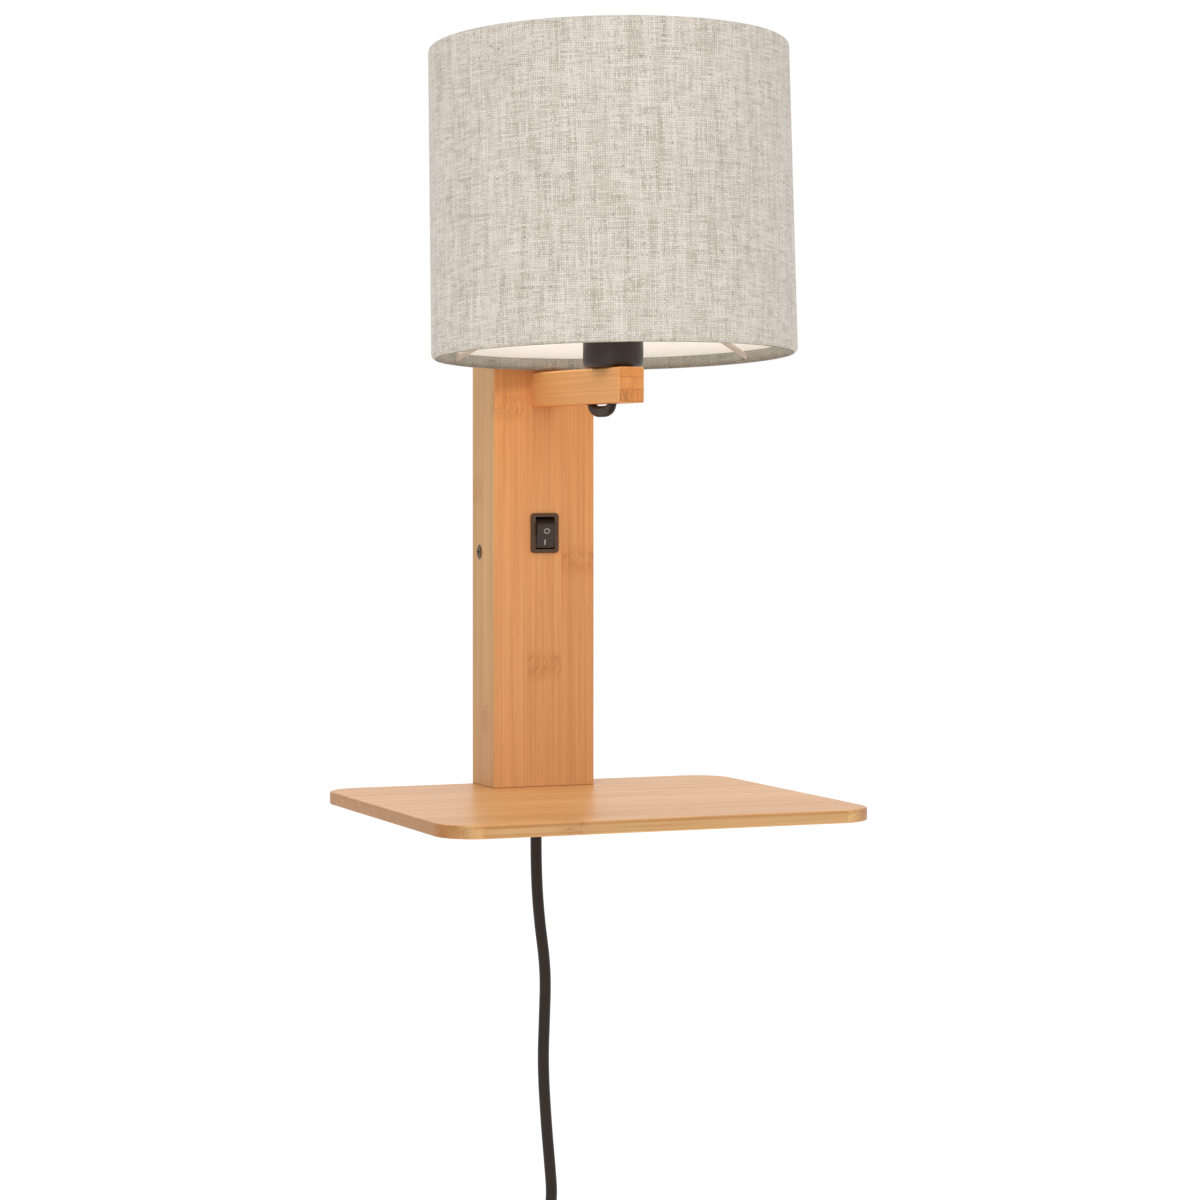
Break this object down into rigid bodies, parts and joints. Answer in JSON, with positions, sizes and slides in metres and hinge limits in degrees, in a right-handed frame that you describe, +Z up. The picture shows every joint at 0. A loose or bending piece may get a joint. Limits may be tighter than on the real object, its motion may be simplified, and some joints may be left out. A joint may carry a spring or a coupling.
{
  "type": "wall lamp with shelf",
  "caption": "Wall lamp on a hollow bamboo post with a drum linen shade on an arm, a rocker switch, a small shelf at the foot and a mains cord with a plug.",
  "frame": {"origin": "middle of the wall bracket's two screw holes, in the wall plane", "axes": "X to the right, Y into the wall, Z up; the viewer stands on the -Y side"},
  "size_m": [0.224, 0.2187, 0.8019],
  "materials": {
    "bamboo": "satin",
    "linen": "woven",
    "lining": "smooth",
    "coated_wire": "satin",
    "holder_plastic": "satin",
    "black_plastic": "satin",
    "white_plastic": "satin",
    "porcelain": "glazed",
    "brass": "satin",
    "bulb_metal": "satin",
    "bulb_glass": "frosted",
    "bracket_steel": "satin",
    "zinc_steel": "satin",
    "bronze_screw": "satin",
    "nickel_pins": "polished",
    "cord_black": "satin",
    "wire_brown": "satin",
    "wire_blue": "satin"
  },
  "bodies": {
    "lamp": {"post_front_board": "bamboo", "post_side_left": "bamboo", "post_side_right": "bamboo", "post_cap": "bamboo", "base_block": "bamboo", "shelf": "bamboo", "shelf_screws": "zinc_steel", "wall_bracket": "bracket_steel", "bracket_nuts": "zinc_steel", "side_screws": "bronze_screw", "arm": "bamboo", "arm_block": "bamboo", "arm_screw": "zinc_steel", "nipple": "zinc_steel", "nipple_nut": "zinc_steel", "holder_cap": "holder_plastic", "holder_core": "porcelain", "holder_shell": "holder_plastic", "holder_thread": "brass", "holder_contact": "brass", "bulb_tip": "bulb_metal", "bulb_cap": "bulb_metal", "bulb_glass": "bulb_glass", "shade_linen": "linen", "shade_lining": "lining", "shade_top_ring": "coated_wire", "shade_spider": "coated_wire", "shade_ring": "holder_plastic", "switch_housing": "black_plastic", "switch_bridge": "brass", "switch_tabs": "brass", "terminal_block": "white_plastic", "terminal_screws": "brass", "terminal_fixing": "zinc_steel", "cord_clamp": "white_plastic", "clamp_screws": "zinc_steel", "cord_gland": "black_plastic", "cord_inner": "cord_black", "lamp_flex": "cord_black", "wire_mains_live": "wire_brown", "wire_mains_neutral": "wire_blue", "wire_switch_feed": "wire_brown", "wire_lamp_live": "wire_brown", "wire_lamp_neutral": "wire_blue", "mains_cord": "cord_black", "cord_coil": "cord_black", "cord_tie": "black_plastic", "cord_end": "cord_black", "plug_body": "cord_black", "plug_pins": "nickel_pins"},
    "rocker": {"switch_rocker": "black_plastic", "switch_plunger": "white_plastic"}
  },
  "joints": [
    {"name": "switch_rock", "type": "hinge", "parent": "lamp", "child": "rocker", "pos_m": [0, -0.0273, 0.0101], "axis": [-1, 0, 0], "range_deg": [0, 26]}
  ]
}
